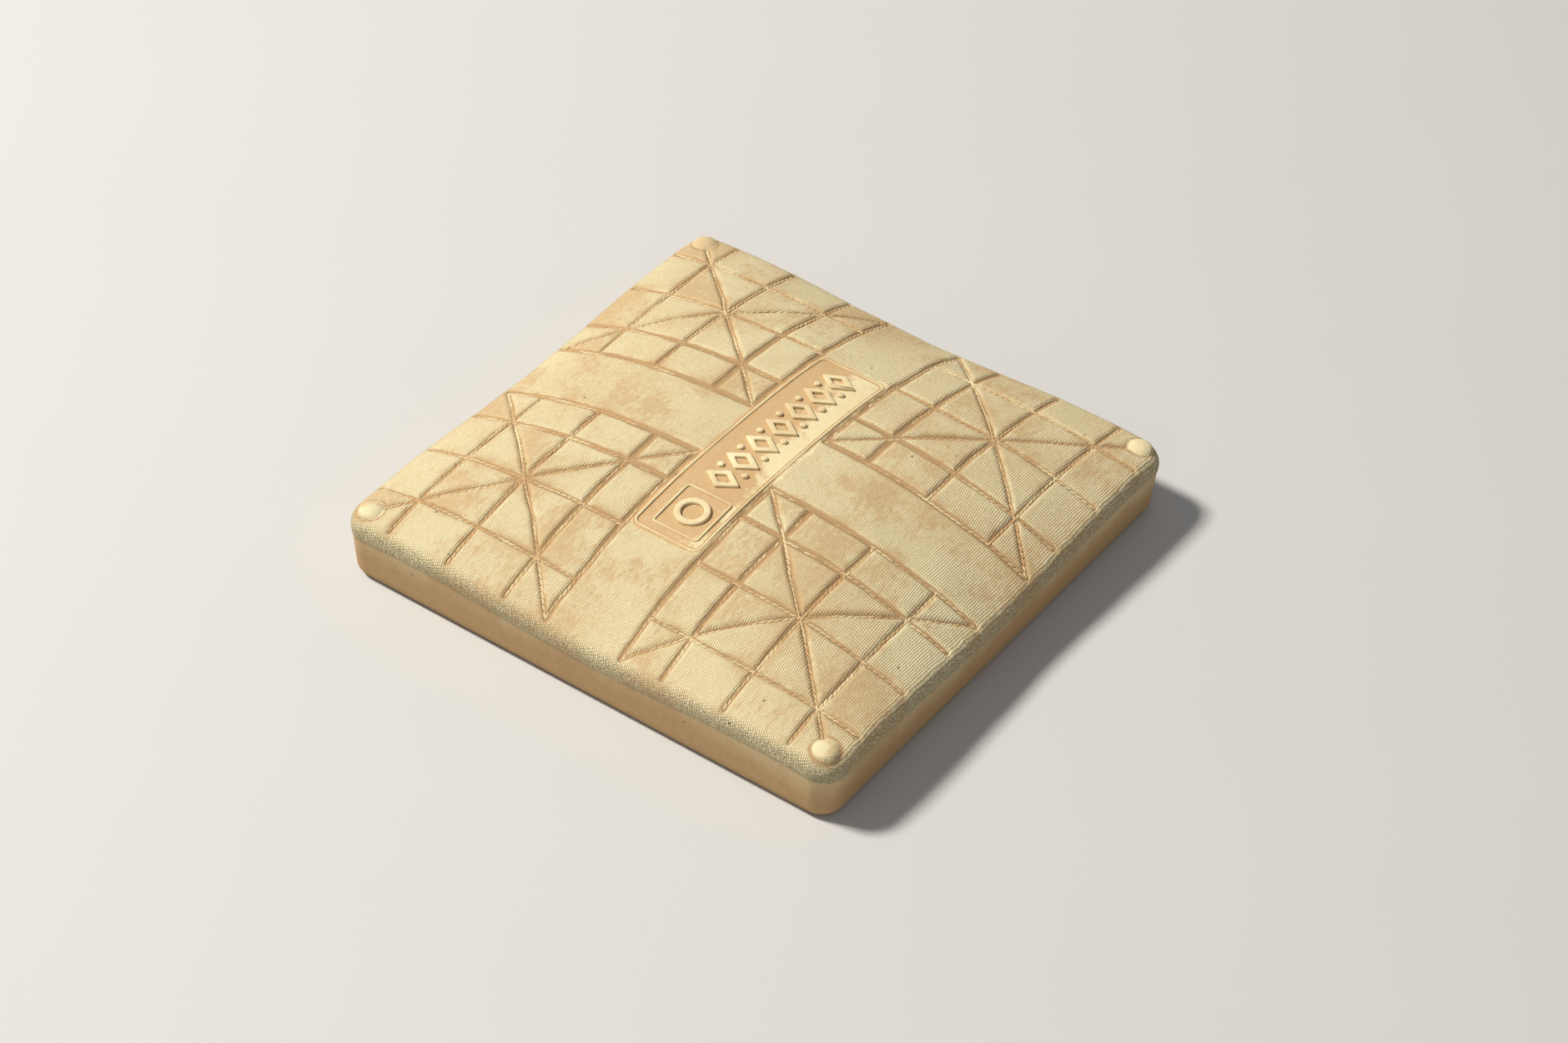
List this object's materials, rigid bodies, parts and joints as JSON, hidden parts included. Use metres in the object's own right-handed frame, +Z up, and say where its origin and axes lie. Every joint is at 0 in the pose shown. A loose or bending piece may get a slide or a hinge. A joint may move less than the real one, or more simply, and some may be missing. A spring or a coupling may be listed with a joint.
{
  "type": "baseball base",
  "caption": "Square low-crowned baseball base with a quilted moulded rubber cover over foam and a backing board, on a square steel post that lifts out of a ground anchor sleeve.",
  "frame": {"origin": "ground level on the axis of the post and its anchor sleeve: the base's flat underside lies on z = 0 and the anchor is below it", "axes": "+Z up along the post, +X along the smooth name panel's band, +Y across it; the base's sides are parallel to X and Y"},
  "size_m": [0.381, 0.381, 0.2412],
  "materials": {
    "cover_rubber": "matte",
    "core_foam": "matte",
    "board_plywood": "matte",
    "strip_zinc": "satin",
    "fastener_zinc": "satin",
    "post_galvanised": "satin",
    "cap_plastic": "matte",
    "anchor_steel": "matte"
  },
  "bodies": {
    "ground_anchor": {"anchor_sleeve": "anchor_steel", "anchor_rod_upper": "anchor_steel", "anchor_rod_lower": "anchor_steel"},
    "base": {"cover": "cover_rubber", "foam_core": "core_foam", "backing_board": "board_plywood", "clamp_strip_front": "strip_zinc", "clamp_strip_back": "strip_zinc", "clamp_strip_left": "strip_zinc", "clamp_strip_right": "strip_zinc", "clamp_screws": "fastener_zinc", "load_plate": "post_galvanised", "stanchion_flange": "post_galvanised", "flange_washers": "fastener_zinc", "nut_washers": "fastener_zinc", "flange_bolts": "fastener_zinc", "flange_nuts": "fastener_zinc", "stanchion_tube": "post_galvanised", "stanchion_cap": "cap_plastic"}
  },
  "joints": [
    {"name": "lift_off", "type": "slide", "parent": "ground_anchor", "child": "base", "axis": [0, 0, 1], "range_m": [0, 0.11]}
  ]
}
